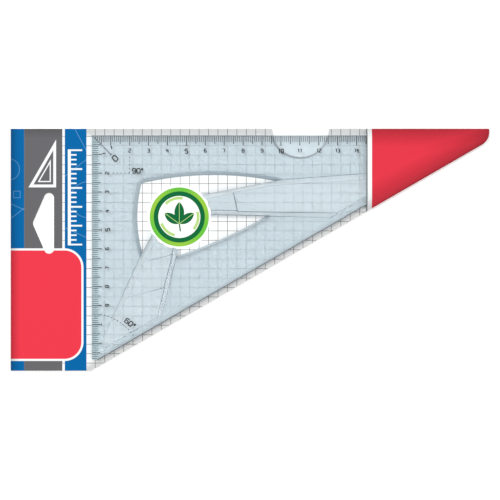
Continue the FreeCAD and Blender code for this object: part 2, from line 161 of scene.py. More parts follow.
GROUPS = {
    "set_square_plastic": PlasticSettings,
    "set_square_ink": InkSettings,
    "set_square_card": CardSettings,
    "set_square_label": LabelSettings,
    "set_square_stage": StageSettings,
}


# Shader expressions

class Field:
    """A number that varies over a surface. Each operator adds one Math node."""

    def __init__(self, finish, socket):
        self.finish = finish
        self.socket = socket

    def math(self, operation, *values, clamp=False):
        sockets = dict(enumerate((self,) + values))
        node = self.finish.node("ShaderNodeMath", {"operation": operation, "use_clamp": clamp}, sockets)
        return Field(self.finish, node.outputs[0])

    def flipped(self, operation, value):
        node = self.finish.node("ShaderNodeMath", {"operation": operation}, {0: value, 1: self})
        return Field(self.finish, node.outputs[0])

    def __add__(self, other):
        return self.math("ADD", other)

    __radd__ = __add__

    def __sub__(self, other):
        return self.math("SUBTRACT", other)

    def __rsub__(self, other):
        return self.flipped("SUBTRACT", other)

    def __mul__(self, other):
        return self.math("MULTIPLY", other)

    __rmul__ = __mul__

    def __truediv__(self, other):
        return self.math("DIVIDE", other)

    def __neg__(self):
        return self.math("MULTIPLY", -1)

    def __abs__(self):
        return self.math("ABSOLUTE")

    def __gt__(self, other):
        return self.math("GREATER_THAN", other)

    def __lt__(self, other):
        return self.math("LESS_THAN", other)

    def least(self, other):
        return self.math("MINIMUM", other)

    def most(self, other):
        return self.math("MAXIMUM", other)

    def clamped(self):
        return self.math("ADD", 0, clamp=True)

    def to_multiple(self, pitch):
        """Distance to the nearest multiple of pitch."""
        return self.math("PINGPONG", pitch / 2)


class Finish:
    """One material: its node tree, and the fields and shaders that a surface reads."""

    def __init__(self, name):
        self.material = bpy.data.materials.new(name)
        self.material.use_nodes = True
        self.tree = self.material.node_tree
        self.tree.nodes.clear()
        self.places = self.node("ShaderNodeTexCoord", {}, {})
        self.parts = self.node("ShaderNodeSeparateXYZ", {}, {0: self.places.outputs["Object"]})
        self.facing = self.node("ShaderNodeSeparateXYZ", {}, {0: self.places.outputs["Normal"]})

    def node(self, kind, settings, sockets):
        """Adds a node: settings first, then the values or links of its sockets."""
        node = self.tree.nodes.new(kind)
        for name, value in settings.items():
            setattr(node, name, value)
        for key, value in sockets.items():
            if isinstance(value, Field):
                value = value.socket
            if isinstance(value, bpy.types.NodeSocket):
                self.tree.links.new(value, node.inputs[key])
            elif node.inputs[key].type == "RGBA":
                node.inputs[key].default_value = (*value[:3], 1)
            else:
                node.inputs[key].default_value = value
        return node

    def across(self):
        """Millimetres right of the zero corner."""
        return (Field(self, self.parts.outputs[0]) - ZERO_X) / MM

    def up(self):
        """Millimetres above the zero corner, in the plane of the plate."""
        return (Field(self, self.parts.outputs[1]) - ZERO_Y) / MM

    def height(self):
        """Millimetres above the surface that the card lies on."""
        return Field(self, self.parts.outputs[2]) / MM

    def normal(self, axis):
        return Field(self, self.facing.outputs[axis])

    def noise(self, scale, detail=2.0, roughness=0.5, stretch=(1, 1, 1)):
        """Noise from 0 to 1; scale is in features per metre."""
        place = self.node("ShaderNodeMapping", {}, {
            "Vector": self.places.outputs["Object"], "Scale": stretch})
        node = self.node("ShaderNodeTexNoise", {}, {
            "Vector": place.outputs[0], "Scale": scale, "Detail": detail, "Roughness": roughness})
        return Field(self, node.outputs["Fac"])

    def over(self, below, above, mask):
        """Colour above laid over colour below where mask is 1."""
        node = self.node("ShaderNodeMix", {"data_type": "RGBA"}, {0: mask, 6: below, 7: above})
        return node.outputs[2]

    def shaded(self, colour, share):
        """A colour times a number."""
        return self.over((0, 0, 0), colour, share)

    def bump(self, height, distance, strength=1.0):
        node = self.node("ShaderNodeBump", {}, {
            "Height": height, "Distance": distance * MM, "Strength": strength})
        return node.outputs[0]

    def surface(self, sockets):
        return self.node("ShaderNodeBsdfPrincipled", {}, sockets).outputs[0]

    def veil(self, colour):
        """A shader that lets light through in one colour."""
        return self.node("ShaderNodeBsdfTransparent", {}, {"Color": colour}).outputs[0]

    def mixed(self, share, first, second):
        """The second of two shaders by a share, and the first for the rest."""
        return self.node("ShaderNodeMixShader", {}, {0: share, 1: first, 2: second}).outputs[0]

    def output(self, shader):
        self.node("ShaderNodeOutputMaterial", {}, {"Surface": shader})
        return self.material


# Distances in the plane of the plate, in mm

SOFT_EDGE = 0.09            # width over which a printed edge fades


def inside(distance, soft=SOFT_EDGE):
    """1 where a signed distance in mm is below zero, fading over a soft edge."""
    return (0.5 - distance / soft).clamped()


def within(place, low, high):
    """Signed distance to a band from low to high."""
    return abs(place - (low + high) / 2) - (high - low) / 2


def rounded_box(x, y, low, high, radius):
    """Signed distance to a box with rounded corners, from its corners low and high."""
    across = within(x, low[0] + radius, high[0] - radius)
    up = within(y, low[1] + radius, high[1] - radius)
    outer = (across.most(0) * across.most(0) + up.most(0) * up.most(0)).math("SQRT")
    return outer + across.most(up).least(0) - radius


def from_point(x, y, centre):
    """Distance to a point."""
    across, up = x - centre[0], y - centre[1]
    return (across * across + up * up).math("SQRT")


def from_line(x, y, point, degrees):
    """Signed distance to a line through a point, positive on its left."""
    angle = math.radians(degrees)
    return (y - point[1]) * math.cos(angle) - (x - point[0]) * math.sin(angle)


def along_line(x, y, point, degrees):
    """Distance along a line from a point on it."""
    angle = math.radians(degrees)
    return (x - point[0]) * math.cos(angle) + (y - point[1]) * math.sin(angle)


def segment(x, y, start, end, width):
    """Signed distance to a straight stroke between two points."""
    degrees = math.degrees(math.atan2(end[1] - start[1], end[0] - start[0]))
    length = math.hypot(end[0] - start[0], end[1] - start[1])
    aside = abs(from_line(x, y, start, degrees)) - width / 2
    return aside.most(within(along_line(x, y, start, degrees), 0, length))


# Plastic

FADE = 0.1                  # height over which the masks change at the plate's top face
CUT_RIM = 0.45              # width of the painted shade at the cut edge on the hypotenuse
END_BEVEL = 3.7             # bevel of the short edge
SLOPE_STRIP = 4.2           # strip along the hypotenuse with the flanks of the grip's ends
WINDOW_END = 92             # right end of the window, from the zero corner
RIGHT_ARM_FOOT = -47        # a level just below the grip's right arm
PAINTED_LIGHT_TINT = (0.66, 0.92, 1)
SLOPE_SHADE_TINT = (0.42, 0.42, 0.42)
GLASS_TINT = (0.90, 0.95, 0.97)
FACE_SHADOW = (0.80, 0.84, 0.86)
EDGE_SHADOW = (0.20, 0.22, 0.24)


def plastic_tint(finish, settings, swirl):
    """Milky tint with painted light and shade, and a mask of the bevels and the cut edge. The grip is
    paler; painted light makes its flanks paler still over the window and lightens bevels that face the
    key light; painted shade darkens flanks that face the fill light, greys flanks next to the
    hypotenuse, darkens bevels unless they face the key light, and darkens the cut edge."""
    x, y, height = finish.across(), finish.up(), finish.height()
    steep = 1 - abs(finish.normal(2))
    below_top = inside(height - PLATE_TOP + FADE / 2, FADE)
    edge = ((steep - 0.06) * 6).clamped() * below_top
    flank = (steep * 12).clamped() * (1 - below_top)
    slope = from_line(x, y, (0, SLOPE_FOOT), SLIM_ANGLE)
    rim = inside(slope - CUT_RIM, 0.3)
    slope_flank = inside(slope - SLOPE_STRIP, 0.6) * flank
    raised = inside(PLATE_TOP + FADE - height, FADE)
    on_end_bevel = inside(x - END_BEVEL, 0.8)
    # painted light: bevels facing left, toward the key light, paler, most on the short edge
    painted_light_bevel = (-10 * finish.normal(0)).clamped() * below_top * (0.14 + 0.5 * on_end_bevel)
    over_window = inside(x - WINDOW_END, 4) * inside(RIGHT_ARM_FOOT - y, 3)
    to_key = (finish.normal(1) * KEY_SIDE[1] + finish.normal(0) * KEY_SIDE[0]).clamped()
    to_fill = finish.normal(0) * FILL_SIDE[0] + finish.normal(1) * FILL_SIDE[1]
    tint = finish.over(settings.tint, WHITE, raised * 0.18)
    tint = finish.over(tint, PAINTED_LIGHT_TINT, painted_light_bevel)
    # painted shade: bevels darker unless they face the key light
    tint = finish.over(tint, settings.edge_tint, edge * (1 - 0.9 * to_key))
    # painted light: flanks paler, most over the window, offsetting their shade
    tint = finish.over(tint, WHITE, flank * (0.06 + 0.38 * over_window) * (1 - slope_flank))
    # painted shade: flanks next to the hypotenuse greyer
    tint = finish.over(tint, SLOPE_SHADE_TINT, slope_flank * 0.35)
    # painted shade: flanks that face the fill light, away from the key light, darker
    tint = finish.over(tint, settings.crease_tint, (8 * to_fill - 1.9).clamped() * flank * 0.6)
    # painted shade: dark cut edge along the hypotenuse
    tint = finish.over(tint, settings.rim_tint, rim)
    return finish.shaded(tint, 0.95 + 0.08 * swirl), edge.most(rim)


def clear_plastic(settings):
    """Clear moulding: part milky scatter and part glass, with a shadow that lets light through."""
    finish = Finish("clear_plastic")
    swirl = finish.noise(28, 3, 0.55)
    tint, edge = plastic_tint(finish, settings, swirl)
    scuff = finish.noise(900, 4, 0.6, (1, 0.16, 1))
    rough = settings.gloss + 0.08 * ((scuff - 0.5) * 3).clamped()
    relief = finish.bump(scuff + 0.6 * swirl, 0.005, 0.3)
    milk = finish.surface({
        "Base Color": tint, "Roughness": rough, "IOR": 1.5, "Specular IOR Level": 0.5,
        "Coat Weight": 0.2, "Coat Roughness": 0.05, "Normal": relief})
    glass = finish.surface({
        "Base Color": GLASS_TINT, "Roughness": rough, "IOR": 1.5,
        "Transmission Weight": 1.0, "Normal": relief})
    body = finish.mixed(settings.milkiness + 0.4 * edge, glass, milk)
    shadow = finish.mixed(edge, finish.veil(FACE_SHADOW), finish.veil(EDGE_SHADOW))
    light = finish.node("ShaderNodeLightPath", {}, {})
    return finish.output(finish.mixed(light.outputs["Is Shadow Ray"], body, shadow))


def crease_plastic(settings):
    """Painted shade along a crease: the bead's own tone says how dark its painted shade is and how much
    it covers.
    """
    finish = Finish("crease_plastic")
    worn = finish.noise(160, 2, 0.6)
    attribute = finish.node("ShaderNodeAttribute", {"attribute_name": "tone"}, {})
    tone = Field(finish, attribute.outputs["Fac"])
    cover = (tone * (0.55 + 0.9 * worn)).clamped()
    return finish.output(finish.surface({
        "Base Color": finish.over(settings.edge_tint, settings.crease_tint, tone),
        "Roughness": settings.gloss + 0.05 + 0.1 * worn, "Alpha": cover,
        "Normal": finish.bump(worn, 0.01, 0.3)}))


def printing_ink(name, colour):
    """Screen ink: slightly uneven in density, with a soft sheen."""
    finish = Finish(name)
    density = finish.noise(1400, 3, 0.6)
    thin = tuple(min(1, c * 2.2 + 0.02) for c in colour)
    tint = finish.over(tuple(colour), thin, (density - 0.45) * 1.4)
    return finish.output(finish.surface({
        "Base Color": tint, "Roughness": 0.45 + 0.15 * density,
        "Normal": finish.bump(density, 0.01, 0.3)}))


# Printed card

BLUE_RIGHT = -2.9           # blue band's right edge, in mm from the zero corner
BLUE_LEFT = -14.4           # the same band's left edge
PIN_STRIPE = 1.3            # white stripe between the grey and the right blue band
GREY_LEFT = -35.9
BLOCK_HEAD = -60.9          # red block, in mm below the zero corner
BLOCK_FOOT = -118.3
BLOCK_RIGHT = -5.6
BLOCK_RADIUS = 9.0
BLOCK_RIM = 1.1
OVERRUN = 20                # the block's print runs on beyond the fold
SIGN_FOOT = -27.5           # foot, right angle, toe and slant of the header's set square sign
SIGN_HEEL = -19.0
SIGN_TOE = -33.6
SIGN_ANGLE = 60
SIGN_LINE = 0.75            # half width of the sign's thick outline
INNER_LINE = 0.3            # and of its thin one, which lies deeper inside
INNER_DEPTH = 3.1
RULER_ENDS = (-58.2, -7.4)  # ruler sign: its ends, its spine, where its teeth are rooted
RULER_SPINE = (-12.8, -11.2)
RULER_ROOT = -12
RULER_ZERO = -57.8          # middle of its first tooth
RULER_TEETH = ((10, 0.45, -5.2), (2.5, 0.4, -8.2))  # pitch, half width and tip of both sorts
PRINT_ARCS = ((-2, -34, 9.5), (-44, -96, 31), (-44, -18, 5.6))  # centre and radius
PRINT_LINES = ((-43, -44, 38), (-3, -8, 118), (-3, -54, -24))   # a point and the direction
PRINT_SQUARE = ((-41.5, -33), (-38, -29.5))
PALE_BLUE = (0.30, 0.58, 0.85)
FOLD_SHADE = 5.5            # width of the painted shade next to the left fold
HEAD_SHADE = 5              # and on the grey band, next to the card's top edge
EDGE_SHADE = 2.8            # and along the ruled panel's outer edges
NOTCH_CENTRE = 110.4
NOTCH_RADIUS = 15.0
NOTCH_LINE = 0.6            # painted shadow line round the notch, and how much wider it is on the left
NOTCH_LEE = 0.8
NOTCH_SHADOW = (0.03, 0.04, 0.05)
GRID_COLUMN = 1.7           # one of the upright ruled lines
GRID_ROW = -0.53            # one of the level ones


def grid_mask(x, y, settings):
    """The ruled lines, in both directions."""
    pitch, line = settings.grid_pitch / MM, settings.grid_line / MM
    upright = (x - GRID_COLUMN).to_multiple(pitch) - line / 2
    level = (y - GRID_ROW).to_multiple(pitch) - line / 2
    return inside(upright.least(level), 0.16)


def blueprint(x, y):
    """Thin pale construction lines: three arcs, three straight lines and a small square."""
    lines = abs(rounded_box(x, y, *PRINT_SQUARE, 0.01))
    for across, up, radius in PRINT_ARCS:
        lines = lines.least(abs(from_point(x, y, (across, up)) - radius))
    for across, up, degrees in PRINT_LINES:
        lines = lines.least(abs(from_line(x, y, (across, up), degrees)))
    return inside(lines - 0.06, 0.2)


def pictogram(x, y):
    """White signs in the header: a set square's outline, and a ruler with two sorts of teeth."""
    slope = from_line(x, y, (SIGN_TOE, SIGN_FOOT), SIGN_ANGLE)
    triangle = (SIGN_FOOT - y).most(x - SIGN_HEEL).most(slope)
    outline = abs(triangle + SIGN_LINE) - SIGN_LINE
    sign = outline.least(abs(triangle + INNER_DEPTH) - INNER_LINE)
    ends = within(y, *RULER_ENDS)
    sign = sign.least(within(x, *RULER_SPINE).most(ends))
    for pitch, half, tip in RULER_TEETH:
        row = (y - RULER_ZERO).to_multiple(pitch) - half
        sign = sign.least(row.most(within(x, RULER_ROOT, tip)).most(ends))
    return inside(sign, 0.14)


def header_colour(finish, x, y, settings):
    """The header's print: blue and grey bands with a pin stripe, and a red block with a white rim, with
    painted shade on the grey band next to the top edge and over all next to the left fold.
    """
    white = settings.white
    blue = finish.over(settings.blue, PALE_BLUE, blueprint(x, y) * 0.85)
    colour = finish.over(white, settings.grid, grid_mask(x, y, settings) * 0.8)
    colour = finish.over(colour, blue, inside(within(x, BLUE_LEFT, BLUE_RIGHT)))
    # painted shade on the grey band next to the top edge
    grey = finish.shaded(settings.grey, 1 - 0.25 * (1 - (CARD_HEAD - y) / HEAD_SHADE).clamped())
    colour = finish.over(colour, grey, inside(within(x, GREY_LEFT, BLUE_LEFT - PIN_STRIPE)))
    colour = finish.over(colour, blue, inside(x - GREY_LEFT))
    colour = finish.over(colour, white, pictogram(x, y))
    low, high = (CARD_LEFT - OVERRUN, BLOCK_FOOT), (BLOCK_RIGHT, BLOCK_HEAD)
    block = rounded_box(x, y, low, high, BLOCK_RADIUS)
    colour = finish.over(colour, white, inside(block - BLOCK_RIM))
    colour = finish.over(colour, settings.red, inside(block))
    # painted shade next to the left fold
    near_fold_shade = (1 - (x - CARD_LEFT) / FOLD_SHADE).clamped()
    return finish.shaded(colour, 1 - near_fold_shade * (0.2 + 0.28 * near_fold_shade))


def from_card_slope(x, y):
    """Distance in from the card's long slanted edge."""
    return from_line(x, y, (0, SLOPE_FOOT), SLIM_ANGLE) + CARD_MARGIN


PALE_FIBRE = (0.76, 0.74, 0.68)
DARK_SPECK = (0.32, 0.30, 0.27)


def board(finish, settings):
    """Raw board: warm grey with fibres and a few dark specks."""
    fibre = finish.noise(2600, 4, 0.65, (1, 0.3, 1))
    speck = ((finish.noise(3400, 1) - 0.72) * 12).clamped()
    colour = finish.over(settings.board, PALE_FIBRE, fibre)
    return finish.over(colour, DARK_SPECK, speck * 0.5), fibre


def card_finish(name, settings, printed_colour, printed_mask):
    """Coated print where printed_mask is 1, and raw board elsewhere."""
    finish = Finish(name)
    x, y = finish.across(), finish.up()
    raw, fibre = board(finish, settings)
    print_side = printed_mask(finish, x, y)
    mottle = finish.noise(160, 3, 0.5)
    colour = finish.shaded(printed_colour(finish, x, y), 0.97 + 0.04 * mottle)
    colour = finish.over(raw, colour, print_side)
    return finish.output(finish.surface({
        "Base Color": colour, "Roughness": 0.75 - 0.35 * print_side + 0.08 * fibre,
        "Specular IOR Level": 0.06, "Coat Weight": 0.02 * print_side, "Coat Roughness": 0.25,
        "Normal": finish.bump(fibre + 0.5 * mottle, 0.02, 0.25)}))


def front_print(finish, x, y):
    """Faces that look up, and the fold round the left edge."""
    fold = (-finish.normal(0) > 0.5) * (x < CARD_LEFT + 0.05)
    return (finish.normal(2) > 0.5).most(fold)


def panel_colour(settings):
    def colour(finish, x, y):
        """Header to the left, and a ruled white panel to the right, with painted shade along its outer
        edges and a painted shadow line round the notch.
        """
        ruled = finish.over(settings.white, settings.grid, grid_mask(x, y, settings))
        # painted shade along the top and slanted edges
        head_edge_shade = (1.7 - (CARD_HEAD - y) / EDGE_SHADE).clamped()
        slope_edge_shade = (1.7 - from_card_slope(x, y) / EDGE_SHADE).clamped()
        ruled = finish.shaded(ruled, 1 - (0.34 * head_edge_shade).most(0.31 * slope_edge_shade))
        cut = from_point(x, y, (NOTCH_CENTRE, CARD_HEAD)) - NOTCH_RADIUS
        lee = (0.5 - (x - NOTCH_CENTRE) / (2 * NOTCH_RADIUS)).clamped()
        # painted shadow of the notch's cut edge, wider on the left
        line = inside(cut - NOTCH_LINE - NOTCH_LEE * lee, 0.3) * (y < -0.3)
        ruled = finish.over(ruled, NOTCH_SHADOW, line)
        header = header_colour(finish, x, y, settings)
        return finish.over(ruled, header, inside(x - BLUE_RIGHT))
    return colour


MOUTH_LINE = 0.75           # painted shadow line at the tail's mouth, and the white margin after it
MOUTH_MARGIN = 3.1
MOUTH_SHADOW = (0.06, 0.07, 0.08)
HIGHLIGHT_BAND = ((178, -14), 38)  # a point and the direction of a faint painted highlight band
SHADE_REACH = 9             # depth over which the folded edges' painted shade fades, and half the highlight band's width


def tail_colour(settings):
    def colour(finish, x, y):
        """Red with a white margin at the mouth, with painted shade towards the top edge, the slanted
        edge and the tip, each by its own depth and slope, and along a thin rim of the folds; a faint
        painted highlight band, painted light on faces turned away from the key light, and a painted
        shadow line at the mouth's cut edge."""
        head = CARD_HEAD - y
        aside = from_card_slope(x, y)
        near = (3.6 + head * 0.56).least(2.6 + aside * 0.54).least(3 + (TAIL_END - x) * 0.16)
        dark = (1 - near / SHADE_REACH).clamped()
        band = (1 - abs(from_line(x, y, *HIGHLIGHT_BAND)) / SHADE_REACH).clamped()
        # painted light: faces turned away from the key light made brighter
        lee = (finish.normal(0) * 0.2 - finish.normal(1) * 0.8).most(0)
        rim = (1 - aside / 1.2).clamped().most(1 - head / 0.7)
        tip = (1 - (TAIL_END - x) / 8).clamped() * (head / 5).clamped()
        share = 0.9 + 0.06 * band - 0.6 * dark - 0.15 * rim - 0.09 * tip
        red = finish.shaded(settings.red, share * (1 + 0.25 * lee))
        margin = finish.shaded(settings.white, 1 - 0.7 * dark * dark)
        margin = finish.over(margin, MOUTH_SHADOW, inside(x - MOUTH - MOUTH_LINE, 0.3) * 0.95)
        return finish.over(red, margin, inside(x - MOUTH - MOUTH_MARGIN))
    return colour


def tail_print(finish, x, y):
    """All of the pocket's outer faces, and none of its inner ones or its cut edges."""
    outer = finish.normal(2) > 0.3
    fold = (finish.normal(0) > 0.3) * (finish.normal(1) < -0.5)
    return outer.most(fold)


BLEED = 3.0                 # how far the print runs on behind the slanted edge


def flap_print(finish, x, y):
    """The glue flap's back carries the bleed of the print, next to the fold."""
    return inside(from_card_slope(x, y) - BLEED) * (finish.normal(2) < -0.5)


DARK_GLUE = (0.72, 0.66, 0.48)
PALE_GLUE = (0.80, 0.76, 0.62)


def dry_glue(name):
    """Dull amber glue."""
    finish = Finish(name)
    blot = finish.noise(300, 3, 0.6)
    return finish.output(finish.surface({
        "Base Color": finish.over(DARK_GLUE, PALE_GLUE, blot),
        "Roughness": 0.5 + 0.2 * blot, "Normal": finish.bump(blot, 0.03, 0.4)}))


# Label

LABEL_RADIUS = (label_high.x - label_low.x) / 2 / MM
LABEL_RIM = 1.1
RING_OUTER = 13.5
RING_INNER = 11.1
PATCH_INNER = 9.2           # pale patches inside the ring: their inner edge, gap and turn
PATCH_GAP = 0.4
PATCH_TURN = 2.2
LABEL_LOBES = 3
LEAVES = ((90, 11.6, 5.2), (36, 9.6, 4.6), (144, 9.6, 4.6))  # direction, length and width
LEAF_RIB = 0.16             # half width of a leaf's rib
SPRIG_ROOT = -3.6           # leaves' root, below the label's middle
STALK_FOOT = (0.6, -7.6)    # lower end of the stalk, from the label's middle
STALK_WIDTH = 0.7


def leaf(x, y, root, degrees, length, width):
    """A pointed leaf: where two equal circles overlap, from its root along its own direction."""
    bow = (length * length / 4 - width * width / 4) / width
    radius = bow + width / 2
    along = along_line(x, y, root, degrees) - length / 2
    aside = from_line(x, y, root, degrees)
    reach = (along * along + (abs(aside) + bow) * (abs(aside) + bow)).math("SQRT") - radius
    rib = abs(aside) - LEAF_RIB
    return reach, rib.most(reach)


def label_paper(settings):
    """A round label: green band, dark ring, pale patches inside it, and a sprig of three leaves."""
    finish = Finish("label_print")
    centre = (((label_low.x + label_high.x) / 2 - ZERO_X) / MM,
              ((label_low.y + label_high.y) / 2 - ZERO_Y) / MM)
    x, y = finish.across(), finish.up()
    reach = from_point(x, y, centre)
    turn = (y - centre[1]).math("ARCTAN2", x - centre[0])
    sweep = ((turn * LABEL_LOBES).math("SINE") * 0.5 + 0.5).clamped()
    band = finish.over(settings.bright, settings.yellow, sweep)
    colour = finish.over(settings.white, band, inside(reach - LABEL_RADIUS + LABEL_RIM))
    colour = finish.over(colour, settings.dark, inside(reach - RING_OUTER))
    colour = finish.over(colour, settings.white, inside(reach - RING_INNER))
    in_patch = (turn * LABEL_LOBES + PATCH_TURN).math("SINE") > 0.1
    patches = inside(within(reach, PATCH_INNER, RING_INNER - PATCH_GAP)) * in_patch
    colour = finish.over(colour, settings.pale, patches)
    root = (centre[0], centre[1] + SPRIG_ROOT)
    foot = (centre[0] + STALK_FOOT[0], centre[1] + STALK_FOOT[1])
    sprig, ribs = segment(x, y, foot, root, STALK_WIDTH), None
    for degrees, length, width in LEAVES:
        shape, rib = leaf(x, y, root, degrees, length, width)
        sprig = sprig.least(shape)
        ribs = rib if ribs is None else ribs.least(rib)
    colour = finish.over(colour, settings.dark, inside(sprig))
    colour = finish.over(colour, settings.pale, inside(ribs))
    colour = finish.over(settings.white, colour, finish.normal(2) > 0.5)
    fibre = finish.noise(1800, 3, 0.6)
    return finish.output(finish.surface({
        "Base Color": colour, "Roughness": 0.38 + 0.1 * fibre, "Specular IOR Level": 0.15,
        "Coat Weight": 0.03, "Coat Roughness": 0.2, "Normal": finish.bump(fibre, 0.01, 0.25)}))


# Figures

# Strokes of each sign: corners in its own box, and whether the stroke is closed
FIGURES = {
    "0": [([(0, 0), (1, 0), (1, 1), (0, 1)], True)],
    "1": [([(0.22, 0.78), (0.62, 1), (0.62, 0)], False)],
    "2": [([(0, 1), (1, 1), (1, 0.52), (0, 0.42), (0, 0), (1, 0)], False)],
    "3": [([(0, 1), (1, 1), (1, 0), (0, 0)], False), ([(0.3, 0.52), (1, 0.52)], False)],
    "4": [([(0.1, 1), (0.02, 0.5), (0, 0.42), (0.12, 0.42), (1.05, 0.42)], False),
          ([(0.72, 0.95), (0.76, -0.15)], False)],
    "5": [([(1, 1), (0, 1), (0, 0.57), (1, 0.57), (1, 0), (0, 0)], False)],
    "6": [([(1, 1), (0, 1), (0, 0), (1, 0), (1, 0.55), (0, 0.55)], False)],
    "7": [([(0, 1), (1, 1), (0.38, 0)], False)],
    "8": [([(0, 0), (1, 0), (1, 1), (0, 1)], True), ([(0, 0.52), (1, 0.52)], False)],
    "9": [([(0, 0), (1, 0), (1, 1), (0, 1), (0, 0.45), (1, 0.45)], False)],
    "l": [([(0.48, 0.8), (0.84, 1), (0.98, 0)], False)],
    "o": [([(0.1, 0.68), (0.42, 0.68), (0.42, 1), (0.1, 1)], True)],
}
WIDE_FIGURE = 0.72          # widths and gap of figures, of their height: zero and angles,
SINGLE_FIGURE = 0.66        # a scale's numbers of one figure
PAIRED_FIGURE = 0.48        # and its numbers of two
FIGURE_GAP = 0.26
CORNER = 0.26               # radius of a stroke's corner, of a figure's height
CURVE_POINTS = 7            # along each rounded corner
CENTIMETRE = 10             # in mm
MARKS = (                   # name, figures, place in mm, height in mm and turn in degrees
    ("zero_figure", "0", (12.3, -12.2), 3.0, 45),
    ("right_angle_figures", "90o", (24.7, -18.8), 2.4, 0),
    ("slant_angle_figures", "60o", (20.6, -99.6), 2.5, -38),
)


def rounded_path(points, radius, closed):
    """Each corner becomes a parabola between the points a radius before and after it."""
    corners = np.array(points, float)
    before, after = np.roll(corners, 1, 0), np.roll(corners, -1, 0)
    back, ahead = before - corners, after - corners
    back_length = np.linalg.norm(back, axis=1, keepdims=True)
    ahead_length = np.linalg.norm(ahead, axis=1, keepdims=True)
    reach = np.minimum(radius, np.minimum(back_length, ahead_length) * 0.48)
    start, end = corners + back / back_length * reach, corners + ahead / ahead_length * reach
    t = np.linspace(0, 1, CURVE_POINTS)[None, :, None]
    curve = (1 - t) ** 2 * start[:, None] + 2 * t * (1 - t) * corners[:, None] + t**2 * end[:, None]
    if closed:
        return curve.reshape(-1, 2)
    middle = curve[1:-1].reshape(-1, 2)
    return np.concatenate([corners[:1], middle, corners[-1:]])


def triangles(node):
    """A node's points, and the three corners of each of its triangles."""
    mesh = node.data
    points = np.empty(len(mesh.vertices) * 3)
    mesh.vertices.foreach_get("co", points)
    mesh.calc_loop_triangles()
    corners = np.empty(len(mesh.loop_triangles) * 3, int)
    mesh.loop_triangles.foreach_get("vertices", corners)
    return points.reshape(-1, 3), corners.reshape(-1, 3)


def surface_heights(node, places):
    """Height of a node's top face under each place: the highest triangle whose plan covers it."""
    points, corners = triangles(node)
    a, b, c = points[corners].transpose(1, 0, 2)
    area = (b[:, 0] - a[:, 0]) * (c[:, 1] - a[:, 1]) - (b[:, 1] - a[:, 1]) * (c[:, 0] - a[:, 0])
    level = area > 1e-12
    a, b, c, area = a[level], b[level], c[level], area[level]
    offset = places[:, None, :] - a[None, :, :2]
    u = (offset[..., 0] * (c - a)[:, 1] - offset[..., 1] * (c - a)[:, 0]) / area
    v = (offset[..., 1] * (b - a)[:, 0] - offset[..., 0] * (b - a)[:, 1]) / area
    slack = -1e-4
    covered = (u > slack) & (v > slack) & (u + v < 1 - slack)
    heights = a[:, 2] + u * (b - a)[:, 2] + v * (c - a)[:, 2]
    return np.where(covered, heights, -np.inf).max(1)


def stroke_edges(path, width, closed):
    """Edges of a stroke: the path moved along the bisector of its runs, and widened at turns."""
    ahead = np.roll(path, -1, 0) - path
    back = path - np.roll(path, 1, 0)
    if not closed:
        ahead[-1], back[0] = back[-1], ahead[0]
    ahead /= np.linalg.norm(ahead, axis=1, keepdims=True)
    back /= np.linalg.norm(back, axis=1, keepdims=True)
    along = ahead + back
    along /= np.linalg.norm(along, axis=1, keepdims=True)
    aside = np.stack([-along[:, 1], along[:, 0]], 1)
    spread = 1 / np.maximum((along * ahead).sum(1, keepdims=True), 0.6)
    return path + aside * spread * width / 2, path - aside * spread * width / 2


def stroke_mesh(node, path, width, film, closed):
    """A rectangular section carried along a path, lying on a node's top face."""
    left, right = stroke_edges(path, width, closed)
    count = len(path)
    sides = np.concatenate([left, right])
    floor = surface_heights(node, sides)
    low = np.column_stack([sides, floor])
    high = np.column_stack([sides, floor + film])
    ring = np.stack([low[:count], low[count:], high[count:], high[:count]], 1)
    here = np.arange(count if closed else count - 1)[:, None]
    there = (here + 1) % count
    edge = np.arange(4)[None, :]
    turn = (edge + 1) % 4
    quads = [here * 4 + edge, there * 4 + edge, there * 4 + turn, here * 4 + turn]
    faces = np.stack(quads, 2).reshape(-1, 4)
    if not closed:
        last = (count - 1) * 4
        faces = np.concatenate([faces, [[0, 1, 2, 3], [last + 3, last + 2, last + 1, last]]])
    return ring.reshape(-1, 3), faces


def write_figures(node, text, centre, height, degrees, stroke, film, share=WIDE_FIGURE):
    """Strokes of a line of figures about a centre, turned by degrees, in the part's metres."""
    width = height * share
    pitch = width + height * FIGURE_GAP
    start = -pitch * (len(text) - 1) / 2
    angle = math.radians(degrees)
    turned = np.array([[math.cos(angle), math.sin(angle)], [-math.sin(angle), math.cos(angle)]])
    meshes = []
    for k, sign in enumerate(text):
        for points, closed in FIGURES[sign]:
            shape = (np.array(points, float) - 0.5) * (width, height) + (start + k * pitch, 0)
            path = rounded_path(shape, CORNER * height, closed)
            meshes.append(stroke_mesh(node, path @ turned + centre, stroke, film, closed))
    return meshes


def joined_piece(name, meshes, material):
    """One object from several lists of vertices and faces."""
    starts = np.cumsum([0] + [len(points) for points, _ in meshes[:-1]])
    points = np.concatenate([points for points, _ in meshes])
    faces = np.concatenate([faces + start for (_, faces), start in zip(meshes, starts)])
    mesh = bpy.data.meshes.new(name)
    mesh.from_pydata(points.tolist(), [], faces.tolist())
    mesh.materials.append(material)
    piece = bpy.data.objects.new(name, mesh)
    bpy.context.scene.collection.objects.link(piece)
    return piece


def place(across, up):
    """Part's place of a point given in mm from the zero corner."""
    return np.array([ZERO_X + across * MM, ZERO_Y + up * MM])


def figure_sizes(number, settings):
    """Height, stroke and row of a scale's number: the first and every fifth have their own."""
    if number == 1:
        return settings.first_height, settings.stroke, settings.first_row / MM
    if number % 5 == 0:
        return settings.fifth_height, settings.bold_stroke, settings.fifth_row / MM
    return settings.figure_height, settings.stroke, settings.figure_row / MM


